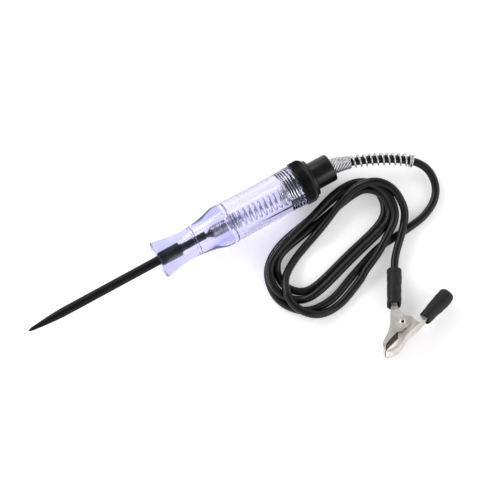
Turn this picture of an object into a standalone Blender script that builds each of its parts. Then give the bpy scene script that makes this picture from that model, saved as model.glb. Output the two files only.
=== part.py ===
"""Circuit test light: a probe handle with a lamp inside, an earth lead and a spring clip.

Row frame: +X runs along the handle from the probe's point to the cap, and +Z is up. The handle
and the lead lie on the surface at z = 0, and the origin is on it, under the handle's middle.
Sizes are in millimetres; MM turns them to metres where a mesh is made. Stations along the handle
are counted from the probe's point.
"""

import math

import bmesh
import bpy
from mathutils import Matrix, Vector

MM = 0.001

# Handle, as stations from the probe's point
AXIS_HEIGHT = 10.4
HANDLE_LENGTH = 157.3
PROBE_RADIUS = 2.15
PROBE_POINT_LENGTH = 19.0
TAIL_RADIUS = 1.7
TAIL_START = 84.9
TAIL_END = 91.7
NOSE_START = 66.9
NOSE_CORE_END = 85.2
SHOULDER_STATION = 101.7
BARREL_END = 139.3
PROBE_BORE = 2.35
LAMP_BORE = 4.0
BARREL_BORE = 7.0
THREAD_BORE = 7.15
THREAD_RADIUS = 6.95
THREAD_START = 132.9
RING_RADIUS = 10.4
RING_START = 139.6
RING_END = 145.7
LIP_RADIUS = 8.6
LIP_END = 147.2
COLLAR_RADIUS = 6.6
COLLAR_START = 147.5

# Lamp and its spring
LAMP_OFFSET = (-0.5, -0.5)
SHELL_RADIUS = 2.9
FLANGE_RADIUS = 3.8
FLANGE_END = 105.0
GLASS_RADIUS = 2.0
GLASS_END = 110.2
SPRING_WIRE = 0.4
SPRING_RADIUS = 3.7
SPRING_FRONT = 105.7
SPRING_BACK = 131.5
SPRING_BACK_OFFSET = (-1.9, -1.3)
DISC_START = 132.2
DISC_RADIUS = 4.6

# Lead and the wound sleeve and spring that guard it where it leaves the collar
CORD_RADIUS = 1.85
CORD_FRONT = 138.4
SLEEVE_START = 153.6
SLEEVE_LENGTH = 15.6
RELIEF_WIRE = 0.42
RELIEF_RADIUS = 2.68
RELIEF_PITCH = 2.65
RELIEF_TURNS = 9
RELIEF_CLOSED_TURNS = 2

# The lead's way from the ferrule in the cap to the coil, in the row frame
LEAD_IN_ROUTE = [
    (59.75, 0.0, 10.4),
    (66.0, 0.0, 10.4),
    (72.5, 0.0, 10.4),
    (78.6, -0.1, 10.4),
    (83.3, -1.1, 10.5),
    (88.1, -2.7, 10.5),
    (93.7, -4.8, 10.3),
    (99.0, -7.2, 9.9),
    (104.3, -9.8, 9.2),
    (109.0, -12.5, 8.4),
    (112.8, -15.1, 7.5),
    (115.7, -18.0, 6.5),
    (117.5, -21.4, 5.3),
    (118.0, -25.3, 4.1),
    (117.2, -29.6, 3.0),
    (115.1, -33.2, 2.3),
    (111.8, -36.2, 1.95),
    (107.0, -38.6, 1.95),
    (101.8, -40.0, 1.95),
    (96.0, -40.8, 1.95),
]

# Its way from the coil to the clip
LEAD_OUT_ROUTE = [
    (88.7, -45.1, 4.9),
    (86.8, -46.9, 4.4),
    (84.9, -48.9, 3.85),
    (83.0, -51.2, 3.6),
    (80.8, -54.68, 3.72),
    (79.13, -57.49, 4.11),
]

# The coil that the rest of the lead lies in: an oval ring
COIL_CENTRE = (64.7, -31.9)
COIL_ANGLE = 16.0
COIL_ENDS = (-40.8, 38.4)
COIL_OUTER = (17.2, 23.6, -22.2, -21.8)
COIL_BAND = 17.0
COIL_HEIGHT = 9.0
COIL_CLEARANCE = 0.1

# Clip: the pivot's place, and how it lies, in degrees
PIVOT = (70.3, -80.2, 7.2)
CLIP_YAW = 34.6
CLIP_ROLL = -5.5
CLIP_PITCH = 5.0
SHEET = 0.6
LEAD_LEVER_HALF = 5.2
THUMB_LEVER_HALF = 4.3
HANDLE_HALF = 2.4
TAPER = (-4.0, -0.4)
RIVET_RADIUS = 1.2
RIVET_HOLE = 1.4
RIVET_HEAD = 2.0
CLIP_SPRING_WIRE = 0.4
CLIP_SPRING_RADIUS = 2.1

# Each boot in the clip's own frame: its mouth, its direction, its length and its half sizes
LEAD_BOOT = {"mouth": (7.2, 7.8), "angle": 25.1, "length": 17.7}
THUMB_BOOT = {"mouth": (7.2, -7.5), "angle": -15.8, "length": 17.0}
BOOT_HALF = (3.2, 3.9)
BOOT_WALL = 0.8


def clear_scene():
    for obj in list(bpy.data.objects):
        bpy.data.objects.remove(obj, do_unlink=True)


def finish(obj, colour, roughness, metallic=0.0, alpha=1.0):
    """Gives the object its own material and smooth shading with crisp edges."""
    material = bpy.data.materials.new(obj.name)
    material.use_nodes = True
    shader = material.node_tree.nodes["Principled BSDF"]
    shader.inputs["Base Color"].default_value = (*colour, 1.0)
    shader.inputs["Roughness"].default_value = roughness
    shader.inputs["Metallic"].default_value = metallic
    shader.inputs["Alpha"].default_value = alpha
    obj.data.materials.append(material)
    if obj.type == "MESH":
        obj.data.shade_smooth()
        obj.data.set_sharp_from_angle(angle=math.radians(35))
    return obj


def mesh_object(name, bm):
    mesh = bpy.data.meshes.new(name)
    bm.to_mesh(mesh)
    bm.free()
    obj = bpy.data.objects.new(name, mesh)
    bpy.context.scene.collection.objects.link(obj)
    return obj


def at_station(station, offset=(0.0, 0.0)):
    """The row-frame point on the handle's axis at a station, in metres, moved aside by (y, z)."""
    x = station - HANDLE_LENGTH / 2
    return Vector((x, offset[0], AXIS_HEIGHT + offset[1])) * MM


def turned(name, profile, segments=48, offset=(0.0, 0.0)):
    """Spins a profile of (station, radius) about the handle's axis. A closed profile makes a tube."""
    bm = bmesh.new()
    points = [bm.verts.new((s * MM, r * MM, 0.0)) for s, r in profile]
    pairs = list(zip(points, points[1:]))
    if profile[0][1] > 0 and profile[-1][1] > 0:
        pairs.append((points[-1], points[0]))
    edges = [bm.edges.new(pair) for pair in pairs]
    bmesh.ops.spin(
        bm, geom=points + edges, cent=(0, 0, 0), axis=(1, 0, 0), angle=2 * math.pi,
        steps=segments, use_merge=True,
    )
    bmesh.ops.remove_doubles(bm, verts=bm.verts, dist=1e-7)
    bmesh.ops.recalc_face_normals(bm, faces=bm.faces)
    obj = mesh_object(name, bm)
    obj.location = at_station(0.0, offset)
    return obj


def smooth_line(points, steps):
    """Points on a Catmull-Rom curve through the given ones, with this many steps in each span."""
    points = [Vector(p) for p in points]
    ends = [2 * points[0] - points[1]] + points + [2 * points[-1] - points[-2]]
    line = []
    for a, b, c, d in zip(ends, ends[1:], ends[2:], ends[3:]):
        for k in range(steps):
            t = k / steps
            line.append(
                0.5 * (2 * b + (c - a) * t + (2 * a - 5 * b + 4 * c - d) * t * t
                       + (3 * b - a - 3 * c + d) * t ** 3)
            )
    line.append(points[-1])
    return line


def even_points(line, spacing):
    """Points at even distances along a line, its two ends among them."""
    lengths = [0.0]
    for a, b in zip(line, line[1:]):
        lengths.append(lengths[-1] + (b - a).length)
    count = max(2, round(lengths[-1] / spacing) + 1)
    return [point_along(line, lengths, lengths[-1] * k / (count - 1)) for k in range(count)]


def point_along(line, lengths, distance):
    k = 1
    while k < len(lengths) - 1 and lengths[k] < distance:
        k += 1
    share = (distance - lengths[k - 1]) / (lengths[k] - lengths[k - 1])
    return line[k - 1].lerp(line[k], min(max(share, 0.0), 1.0))


def frames_along(line):
    """(point, sideways, upward) at each point of a line, turned as little as possible."""
    frames = []
    upward = Vector((0, 0, 1))
    for k, point in enumerate(line):
        ahead = line[min(k + 1, len(line) - 1)] - line[max(k - 1, 0)]
        ahead.normalize()
        sideways = upward.cross(ahead).normalized()
        upward = ahead.cross(sideways).normalized()
        frames.append((point, sideways, upward))
    return frames


def wire(name, points, radius, sides_level=1):
    """A round wire or cord through points in millimetres, closed at its ends."""
    curve = bpy.data.curves.new(name, "CURVE")
    curve.dimensions = "3D"
    curve.bevel_depth = radius * MM
    curve.bevel_resolution = sides_level
    curve.use_fill_caps = True
    spline = curve.splines.new("POLY")
    spline.points.add(len(points) - 1)
    for node, point in zip(spline.points, points):
        node.co = (*(Vector(point) * MM), 1.0)
    obj = bpy.data.objects.new(name, curve)
    bpy.context.scene.collection.objects.link(obj)
    return obj


def coil_points(line, radius, turns_before, pitch_of, per_turn=12):
    """A helix round a line: pitch_of gives the pitch after so many turns."""
    lengths = [0.0]
    for a, b in zip(line, line[1:]):
        lengths.append(lengths[-1] + (b - a).length)
    frames = frames_along(line)
    points = []
    distance = 0.0
    step = 0
    while distance <= lengths[-1] and step <= turns_before * per_turn:
        k = 1
        while k < len(lengths) - 1 and lengths[k] < distance:
            k += 1
        centre = point_along(line, lengths, distance)
        angle = 2 * math.pi * step / per_turn
        _, sideways, upward = frames[k]
        points.append(centre + radius * (math.cos(angle) * sideways + math.sin(angle) * upward))
        distance += pitch_of(step / per_turn) / per_turn
        step += 1
    return points


def swept_sleeve(name, line, outer_radii, inner_radius, segments=24):
    """A tube with a wall along a line, whose outer radius changes from point to point."""
    bm = bmesh.new()
    rings = {"outer": [], "inner": []}
    for (point, sideways, upward), outer in zip(frames_along(line), outer_radii):
        for side, radius in (("outer", outer), ("inner", inner_radius)):
            ring = []
            for k in range(segments):
                angle = 2 * math.pi * k / segments
                spoke = math.cos(angle) * sideways + math.sin(angle) * upward
                ring.append(bm.verts.new((point + radius * spoke) * MM))
            rings[side].append(ring)
    loops = rings["outer"] + rings["inner"][::-1]
    for a, b in zip(loops, loops[1:] + loops[:1]):
        for k in range(segments):
            m = (k + 1) % segments
            bm.faces.new((a[k], a[m], b[m], b[k]))
    bmesh.ops.recalc_face_normals(bm, faces=bm.faces)
    return mesh_object(name, bm)


def prism(name, outline, low, high):
    """A flat outline of (x, y) in millimetres, stood up from low to high."""
    bm = bmesh.new()
    base = bm.faces.new([bm.verts.new((x * MM, y * MM, low * MM)) for x, y in outline])
    grown = bmesh.ops.extrude_face_region(bm, geom=[base])
    top = [item for item in grown["geom"] if isinstance(item, bmesh.types.BMVert)]
    bmesh.ops.translate(bm, verts=top, vec=(0, 0, (high - low) * MM))
    bmesh.ops.recalc_face_normals(bm, faces=bm.faces)
    return mesh_object(name, bm)


def combine(obj, other, operation):
    """Adds a Boolean to obj and turns other into its hidden tool."""
    boolean = obj.modifiers.new(other.name, "BOOLEAN")
    boolean.operation = operation
    boolean.object = other
    other.hide_render = True
    other.display_type = "WIRE"
    return obj


def make_probe():
    profile = [(0.0, 0.0), (0.2, 0.32), (2.0, 0.88), (5.5, 1.25), (9.0, 1.6), (13.0, 1.9)]
    profile += [(PROBE_POINT_LENGTH, PROBE_RADIUS), (TAIL_START - 0.4, PROBE_RADIUS)]
    profile += [(TAIL_START, TAIL_RADIUS), (TAIL_END - 0.5, TAIL_RADIUS)]
    profile += [(TAIL_END, TAIL_RADIUS - 0.5), (TAIL_END, 0.0)]
    obj = turned("probe_needle", profile, 32)
    return finish(obj, (0.012, 0.012, 0.014), 0.38, 0.6)


def make_barrel():
    """Nose, finger waist, shoulder and lamp barrel are one clear moulding."""
    flare = [(68.3, 8.75, 0), (73.3, 7.7, 0), (80.5, 6.8, 0), (88.0, 7.35, 0)]
    flare += [(93.5, 8.3, 0), (98.0, 9.7, 0), (SHOULDER_STATION - 0.4, 9.95, 0)]
    outside = [(p.x, p.y) for p in smooth_line(flare, 3)]
    profile = [(NOSE_START, PROBE_BORE), (NOSE_START, 8.0), (67.2, 8.5)] + outside
    profile += [(SHOULDER_STATION + 0.6, 9.75), (128.0, 9.6), (134.5, 9.65), (136.0, 9.85)]
    profile += [(BARREL_END, 9.85), (BARREL_END, THREAD_BORE), (THREAD_START - 0.7, THREAD_BORE)]
    profile += [(THREAD_START - 0.9, BARREL_BORE), (SHOULDER_STATION, BARREL_BORE)]
    profile += [(SHOULDER_STATION, LAMP_BORE), (NOSE_CORE_END, LAMP_BORE), (NOSE_CORE_END, PROBE_BORE)]
    obj = turned("handle_barrel", profile, 48)
    return finish(obj, (0.62, 0.6, 0.95), 0.08, 0.0, 0.35)


def make_lamp():
    """Screw-base lamp: solder contact, black insulator, plated shell, glass and filament."""
    contact = [(92.0, 0.0), (92.0, 0.45), (92.25, 0.72), (92.9, 0.72), (92.9, 0.0)]
    obj = turned("lamp_contact", contact, 20, LAMP_OFFSET)
    finish(obj, (0.55, 0.52, 0.48), 0.35, 1.0)

    insulator = [(93.1, 0.0), (93.1, 0.8), (95.0, 2.1), (97.0, 2.1), (97.0, 0.0)]
    obj = turned("lamp_insulator", insulator, 32, LAMP_OFFSET)
    finish(obj, (0.01, 0.01, 0.012), 0.25)

    shell = [(95.0, 2.35), (95.4, SHELL_RADIUS), (FLANGE_END - 0.6, SHELL_RADIUS)]
    shell += [(FLANGE_END - 0.6, FLANGE_RADIUS), (FLANGE_END, FLANGE_RADIUS), (FLANGE_END, 2.35)]
    obj = turned("lamp_shell", shell, 32, LAMP_OFFSET)
    finish(obj, (0.62, 0.61, 0.58), 0.3, 1.0)

    dome = [(GLASS_RADIUS * math.cos(a), GLASS_RADIUS * math.sin(a)) for a in
            (math.radians(15 * k) for k in range(7))]
    wall = 0.3
    centre = GLASS_END - GLASS_RADIUS
    outer = [(centre + x, y) for x, y in dome]
    inner = [(centre + x * (1 - wall / GLASS_RADIUS), y * (1 - wall / GLASS_RADIUS)) for x, y in dome]
    glass = outer + [(99.0, GLASS_RADIUS), (99.0, GLASS_RADIUS - wall)] + inner[::-1]
    obj = turned("lamp_glass", glass, 32, LAMP_OFFSET)
    finish(obj, (0.9, 0.93, 0.95), 0.03, 0.0, 0.35)

    middle = at_station(0.0, LAMP_OFFSET) / MM
    posts = [(98.0, -0.8, 0), (107.3, -0.8, 0), (107.6, -0.4, 0.25), (107.6, 0, -0.25)]
    posts += [(107.6, 0.4, 0.25), (107.3, 0.8, 0), (98.0, 0.8, 0)]
    obj = wire("lamp_filament", [middle + Vector(p) for p in posts], 0.12, 1)
    finish(obj, (0.5, 0.5, 0.5), 0.4, 1.0)


def make_lamp_spring():
    front = at_station(SPRING_FRONT, LAMP_OFFSET) / MM
    back = at_station(SPRING_BACK, SPRING_BACK_OFFSET) / MM
    line = [front.lerp(back, k / 40) for k in range(41)]
    length = (back - front).length
    closed_turns = 1.25
    closed_pitch = 2 * SPRING_WIRE + 0.12
    open_turns = 9
    open_pitch = (length - 2 * closed_turns * closed_pitch) / open_turns
    total = open_turns + 2 * closed_turns

    def pitch_of(turn):
        return closed_pitch if turn < closed_turns or turn > total - closed_turns else open_pitch

    obj = wire("lamp_spring", coil_points(line, SPRING_RADIUS, total, pitch_of), SPRING_WIRE, 1)
    return finish(obj, (0.55, 0.55, 0.54), 0.28, 1.0)


def make_cap_end():
    """Contact disc, screw cap, collar, and the ferrule and core that end the lead inside."""
    disc = [(DISC_START, 0.0), (DISC_START, DISC_RADIUS), (132.6, DISC_RADIUS), (132.6, 0.0)]
    obj = turned("contact_disc", disc, 40)
    finish(obj, (0.7, 0.66, 0.55), 0.3, 1.0)

    cap = [(THREAD_START, 1.2), (THREAD_START, THREAD_RADIUS - 0.4), (THREAD_START + 0.4, THREAD_RADIUS)]
    cap += [(RING_START, THREAD_RADIUS), (RING_START, RING_RADIUS - 0.3), (RING_START + 0.3, RING_RADIUS)]
    cap += [(144.0, RING_RADIUS), (RING_END, 9.4), (RING_END, LIP_RADIUS), (LIP_END - 0.2, LIP_RADIUS)]
    cap += [(LIP_END, LIP_RADIUS - 0.2), (LIP_END, 4.3), (137.2, 4.3), (137.2, 1.2)]
    obj = turned("screw_cap", cap, 64)
    finish(obj, (0.016, 0.016, 0.018), 0.5)

    core = [at_station(s) / MM for s in (132.9, 135.5, 138.1)]
    obj = wire("lead_core", core, 0.6, 2)
    finish(obj, (0.72, 0.35, 0.2), 0.35, 1.0)

    ferrule = [(138.6, 2.1), (138.6, 3.1), (139.0, 3.4), (141.6, 3.4), (142.0, 3.1), (142.0, 2.1)]
    obj = turned("lead_ferrule", ferrule, 32)
    finish(obj, (0.7, 0.6, 0.35), 0.35, 1.0)

    collar = [(142.5, 2.2), (142.5, 4.0), (COLLAR_START, 4.0), (COLLAR_START, COLLAR_RADIUS - 0.2)]
    collar += [(COLLAR_START + 0.2, COLLAR_RADIUS), (HANDLE_LENGTH - 0.5, COLLAR_RADIUS)]
    collar += [(HANDLE_LENGTH, COLLAR_RADIUS - 0.5), (HANDLE_LENGTH, 4.15), (153.2, 4.15), (153.2, 2.2)]
    obj = turned("end_collar", collar, 48)
    finish(obj, (0.013, 0.013, 0.015), 0.42)


def lead_in_line():
    return smooth_line(LEAD_IN_ROUTE, 8)


def make_relief():
    """A wound, tapering steel sleeve in the collar, then an open spring, both round the lead."""
    line = lead_in_line()
    lengths = [0.0]
    for a, b in zip(line, line[1:]):
        lengths.append(lengths[-1] + (b - a).length)
    start = SLEEVE_START - CORD_FRONT
    sleeve_line = [point_along(line, lengths, start + SLEEVE_LENGTH * k / 16) for k in range(17)]
    radii = [3.85] * 5 + [3.85 - 0.95 * k / 12 for k in range(1, 13)]
    obj = swept_sleeve("relief_sleeve", sleeve_line, radii, 2.25)
    finish(obj, (0.6, 0.6, 0.6), 0.3, 1.0)

    after = start + SLEEVE_LENGTH + 0.3 + RELIEF_WIRE
    closed_pitch = 2 * RELIEF_WIRE + 0.15
    length = RELIEF_TURNS * RELIEF_PITCH + RELIEF_CLOSED_TURNS * closed_pitch
    spring_line = [point_along(line, lengths, after + length * k / 60) for k in range(61)]

    def pitch_of(turn):
        return RELIEF_PITCH if turn < RELIEF_TURNS else closed_pitch

    turns = RELIEF_TURNS + RELIEF_CLOSED_TURNS
    points = coil_points(spring_line, RELIEF_RADIUS, turns, pitch_of)
    obj = wire("relief_spring", points, RELIEF_WIRE, 1)
    finish(obj, (0.6, 0.6, 0.6), 0.28, 1.0)


def half_ring(centre, half_width, x_end, side):
    """Points of one rounded end of the coil's outline, from one flank to the other."""
    low, high = half_width
    radius = (high - low) / 2
    middle = (high + low) / 2
    points = []
    for k in range(13):
        angle = math.pi * k / 12
        x = x_end + side * radius * (math.sin(angle) - 1)
        y = middle + side * radius * math.cos(angle)
        points.append((centre[0] + x, centre[1] + y))
    return points


def coil_outline(inset):
    """Outline of the coil's oval, drawn in from its outside, in the coil's own frame."""
    right_top, right_bottom, left_bottom, left_top = COIL_OUTER
    low_end, high_end = COIL_ENDS
    top = half_ring((0, 0), (-right_top + inset, -left_top - inset), high_end - inset, 1)
    bottom = half_ring((0, 0), (-right_bottom + inset, -left_bottom - inset), low_end + inset, -1)
    return top + bottom


def make_coil():
    """The closed outer shape of the wound lead: an oval ring with sloped shoulders."""
    bm = bmesh.new()
    levels = [(1.0, COIL_CLEARANCE), (0.0, 1.4), (0.0, 4.2), (3.4, COIL_HEIGHT)]
    levels += [(COIL_BAND - 2.4, COIL_HEIGHT), (COIL_BAND, 4.2), (COIL_BAND, 1.4), (COIL_BAND - 1.0, COIL_CLEARANCE)]
    turn = Matrix.Rotation(math.radians(COIL_ANGLE), 4, "Z")
    rings = []
    for inset, height in levels:
        ring = []
        for x, y in coil_outline(inset):
            spot = turn @ Vector((x, y, 0))
            place = Vector((COIL_CENTRE[0] + spot.x, COIL_CENTRE[1] + spot.y, height))
            ring.append(bm.verts.new(place * MM))
        rings.append(ring)
    for a, b in zip(rings, rings[1:] + rings[:1]):
        for k in range(len(a)):
            m = (k + 1) % len(a)
            bm.faces.new((a[k], a[m], b[m], b[k]))
    bmesh.ops.recalc_face_normals(bm, faces=bm.faces)
    obj = mesh_object("lead_coil", bm)
    return finish(obj, (0.02, 0.02, 0.022), 0.5)


def make_lead():
    points = even_points(lead_in_line(), 2 * 2 * CORD_RADIUS)
    obj = wire("lead_in", points, CORD_RADIUS, 2)
    finish(obj, (0.02, 0.02, 0.022), 0.5)
    points = even_points(smooth_line(LEAD_OUT_ROUTE, 8), 2 * 2 * CORD_RADIUS)
    obj = wire("lead_out", points, CORD_RADIUS, 2)
    finish(obj, (0.02, 0.02, 0.022), 0.5)


def clip_frame():
    """An empty at the rivet, tilted as the clip lies: +X between the handles, +Z along the rivet."""
    empty = bpy.data.objects.new("clip_frame", None)
    bpy.context.scene.collection.objects.link(empty)
    turn = Matrix.Rotation(math.radians(CLIP_YAW), 4, "Z")
    roll = Matrix.Rotation(math.radians(CLIP_ROLL), 4, "X")
    pitch = Matrix.Rotation(math.radians(CLIP_PITCH), 4, "Y")
    empty.matrix_world = Matrix.Translation(Vector(PIVOT) * MM) @ turn @ roll @ pitch
    return empty


def mount_on(obj, frame):
    obj.parent = frame
    return obj


def arc(centre, radius, start, end, steps):
    """Points on an arc, angles in degrees."""
    points = []
    for k in range(steps + 1):
        angle = math.radians(start + (end - start) * k / steps)
        points.append((centre[0] + radius * math.cos(angle), centre[1] + radius * math.sin(angle)))
    return points


def place_on(boot, along, across):
    """A point in the clip's frame, so far along a boot's axis and so far to its left."""
    angle = math.radians(boot["angle"])
    x = boot["mouth"][0] + along * math.cos(angle) - across * math.sin(angle)
    y = boot["mouth"][1] + along * math.sin(angle) + across * math.cos(angle)
    return (x, y)


def lever(name, outline, inner_back, half_width, open_side, boot):
    """A U-shaped lever: a solid block of its outline, hollowed from its open side."""
    obj = prism(name, outline, -half_width, half_width)
    ends = [(inner_back[-1][0], open_side), (inner_back[0][0], open_side)]
    hollow = prism(name + "_hollow", inner_back + ends, SHEET - half_width, half_width - SHEET)
    combine(obj, hollow, "DIFFERENCE")
    hole = prism(name + "_hole", arc((0, 0), RIVET_HOLE, 0, 345, 23), -half_width - 1, half_width + 1)
    combine(obj, hole, "DIFFERENCE")
    graph = bpy.context.evaluated_depsgraph_get()
    obj.data = bpy.data.meshes.new_from_object(obj.evaluated_get(graph))
    obj.modifiers.clear()
    narrow_handle(obj, half_width, boot)
    return obj


def narrow_handle(obj, half_width, boot):
    """Draws the lever's sides in between TAPER's two distances, counted from its boot's mouth."""
    mouth = Vector((*boot["mouth"], 0)) * MM
    angle = math.radians(boot["angle"])
    axis = Vector((math.cos(angle), math.sin(angle), 0))
    bm = bmesh.new()
    bm.from_mesh(obj.data)
    for distance in TAPER:
        everything = bm.verts[:] + bm.edges[:] + bm.faces[:]
        bmesh.ops.bisect_plane(bm, geom=everything, plane_co=mouth + axis * distance * MM, plane_no=axis)
    for vertex in bm.verts:
        distance = (vertex.co - mouth).dot(axis) / MM
        share = min(max((distance - TAPER[0]) / (TAPER[1] - TAPER[0]), 0.0), 1.0)
        vertex.co.z *= 1 - (1 - HANDLE_HALF / half_width) * share
    bm.to_mesh(obj.data)
    bm.free()


def make_levers(frame):
    lead_outline = [(-16.1, 0.8), (-14.65, 1.5), (-13.2, 2.3), (-11.6, 2.1), (-8.6, 1.15), (-5.4, 0.2)]
    lead_outline += [(-4.3, -1.6)] + arc((0, 0), 3.2, 225, 352, 8) + [(4.0, 1.6), (4.9, 4.5)]
    lead_outline += [place_on(LEAD_BOOT, 0.0, -1.35), place_on(LEAD_BOOT, 10.5, -1.35)]
    lead_outline += [place_on(LEAD_BOOT, 10.5, 1.35), place_on(LEAD_BOOT, 0.0, 1.35)]
    lead_outline += [(2.4, 7.25), (-1.0, 5.7), (-3.7, 4.65), (-5.9, 4.15), (-8.1, 3.85), (-11.9, 3.9)]
    lead_outline += [(-13.3, 3.6), (-14.4, 3.0), (-15.3, 2.0)]
    lead_back = [(-16.7, 0.6), (-15.7, 1.45), (-14.6, 2.35), (-13.1, 3.0), (-11.8, 3.3), (-8.0, 3.25)]
    lead_back += [(-5.7, 3.55), (-3.5, 4.05), (-0.8, 5.1), (2.6, 6.65)]
    lead_back += [place_on(LEAD_BOOT, 0.0, 0.7), place_on(LEAD_BOOT, 14.0, 0.7)]
    obj = lever("clip_lever_lead", lead_outline, lead_back, LEAD_LEVER_HALF, -25.0, LEAD_BOOT)
    mount_on(finish(obj, (0.62, 0.59, 0.56), 0.32, 1.0), frame)

    thumb_outline = [(-16.1, 0.4), (-15.1, 0.45), (-13.1, -1.0), (-10.9, -2.2), (-8.75, -1.85), (-7.1, -0.95)]
    thumb_outline += [(-5.5, -0.2)] + arc((0, 0), 3.2, 165, 15, 10) + [(4.0, -0.6), (4.8, -2.4)]
    thumb_outline += [place_on(THUMB_BOOT, 0.0, 1.35), place_on(THUMB_BOOT, 10.5, 1.35)]
    thumb_outline += [place_on(THUMB_BOOT, 10.5, -1.35), place_on(THUMB_BOOT, 0.0, -1.35)]
    thumb_outline += [(2.6, -6.95), (-1.3, -5.35), (-5.6, -4.0), (-8.8, -4.0), (-11.7, -3.4), (-14.5, -1.75)]
    thumb_back = [(-16.7, 0.6), (-14.3, -1.1), (-11.5, -2.8), (-8.7, -3.4), (-5.6, -3.4), (-1.1, -4.75)]
    thumb_back += [(2.8, -6.35), place_on(THUMB_BOOT, 0.0, -0.75), place_on(THUMB_BOOT, 14.0, -0.75)]
    obj = lever("clip_lever_thumb", thumb_outline, thumb_back, THUMB_LEVER_HALF, 25.0, THUMB_BOOT)
    mount_on(finish(obj, (0.62, 0.59, 0.56), 0.32, 1.0), frame)


def make_rivet(frame):
    face = LEAD_LEVER_HALF + 0.2
    profile = [(-face - 0.55, 0.0), (-face - 0.55, RIVET_HEAD - 0.7), (-face - 0.2, RIVET_HEAD)]
    profile += [(-face, RIVET_HEAD), (-face, RIVET_RADIUS), (face, RIVET_RADIUS), (face, RIVET_HEAD)]
    profile += [(face + 0.2, RIVET_HEAD), (face + 0.55, RIVET_HEAD - 0.7), (face + 0.55, 0.0)]
    obj = turned("clip_rivet", profile, 32)
    obj.data.transform(Matrix.Rotation(math.radians(-90), 4, "Y"))
    obj.location = (0, 0, 0)
    mount_on(finish(obj, (0.66, 0.63, 0.6), 0.3, 1.0), frame)


def make_clip_spring(frame):
    """A torsion spring round the rivet: one leg in each handle."""
    start, end = math.radians(128), math.radians(238 + 1080)
    half = 1.65
    steps = 44
    points = [Vector((*place_on(LEAD_BOOT, 4.0, 0.0), 1.1))]
    for k in range(steps + 1):
        angle = start + (end - start) * k / steps
        height = half - 2 * half * k / steps
        spoke = Vector((math.cos(angle), math.sin(angle), 0)) * CLIP_SPRING_RADIUS
        points.append(spoke + Vector((0, 0, height)))
    points.append(Vector((*place_on(THUMB_BOOT, 3.5, 0.0), -1.1)))
    obj = wire("clip_spring", points, CLIP_SPRING_WIRE, 1)
    mount_on(finish(obj, (0.5, 0.5, 0.5), 0.3, 1.0), frame)


def oval(half, count=28, power=2.4):
    """Points of a rounded oval with these half sizes."""
    points = []
    for k in range(count):
        angle = 2 * math.pi * k / count
        c, s = math.cos(angle), math.sin(angle)
        points.append(
            (half[0] * math.copysign(abs(c) ** (2 / power), c), half[1] * math.copysign(abs(s) ** (2 / power), s))
        )
    return points


def boot(name, spec, sections, through, frame):
    """A soft sleeve lofted through (distance along its axis, half sizes); through joins last to first."""
    angle = math.radians(spec["angle"])
    axis = Vector((math.cos(angle), math.sin(angle), 0))
    across = Vector((-axis.y, axis.x, 0))
    mouth = Vector((*spec["mouth"], 0))
    bm = bmesh.new()
    rings = []
    for distance, half in sections:
        centre = mouth + axis * distance
        rings.append([bm.verts.new((centre + across * a + Vector((0, 0, b))) * MM) for a, b in oval(half)])
    pairs = list(zip(rings, rings[1:]))
    if through:
        pairs.append((rings[-1], rings[0]))
    else:
        bm.faces.new(rings[0])
        bm.faces.new(rings[-1])
    for a, b in pairs:
        for k in range(len(a)):
            m = (k + 1) % len(a)
            bm.faces.new((a[k], a[m], b[m], b[k]))
    bmesh.ops.recalc_face_normals(bm, faces=bm.faces)
    mount_on(finish(mesh_object(name, bm), (0.035, 0.035, 0.038), 0.75), frame)


def make_boots(frame):
    a, b = BOOT_HALF
    length = LEAD_BOOT["length"]
    inner = (a - BOOT_WALL, b - BOOT_WALL)
    sections = [(0.0, inner), (0.0, (a, b)), (length - 3, (a, b - 0.2)), (length - 0.6, (a, 3.7))]
    sections += [(length, (a - 0.5, 3.3)), (length, (2.15, 2.15)), (length - 1.2, (2.15, 2.15))]
    sections += [(length - 3.5, (inner[0], inner[1] - 0.3))]
    boot("boot_lead", LEAD_BOOT, sections, True, frame)

    length = THUMB_BOOT["length"]
    sections = [(length - 1.4, inner), (0.0, inner), (0.0, (a - 0.25, b)), (length * 0.6, (a + 0.15, b))]
    sections += [(length - 2.0, (a + 0.1, b - 0.3)), (length - 0.7, (a - 0.6, b - 1.1))]
    sections += [(length, (a - 1.8, b - 2.3))]
    boot("boot_thumb", THUMB_BOOT, sections, False, frame)


def make_lead_end(frame):
    """The lead's bare core, soldered into the end of the lead-side lever."""
    points = [Vector((*place_on(LEAD_BOOT, d, 0.0), 0)) for d in (8.0, 11.0, 14.2)]
    obj = wire("lead_end_core", points, 0.45, 2)
    mount_on(finish(obj, (0.7, 0.4, 0.25), 0.4, 1.0), frame)


def main():
    clear_scene()
    make_probe()
    make_barrel()
    make_lamp()
    make_lamp_spring()
    make_cap_end()
    make_relief()
    make_coil()
    make_lead()
    frame = clip_frame()
    make_levers(frame)
    make_rivet(frame)
    make_clip_spring(frame)
    make_boots(frame)
    make_lead_end(frame)


main()
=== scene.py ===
"""Circuit test light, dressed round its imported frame: lead, probe, clear handle, lamp, cap and clip."""

import math

import bmesh
import bpy
from mathutils import Matrix, Vector, noise


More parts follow.
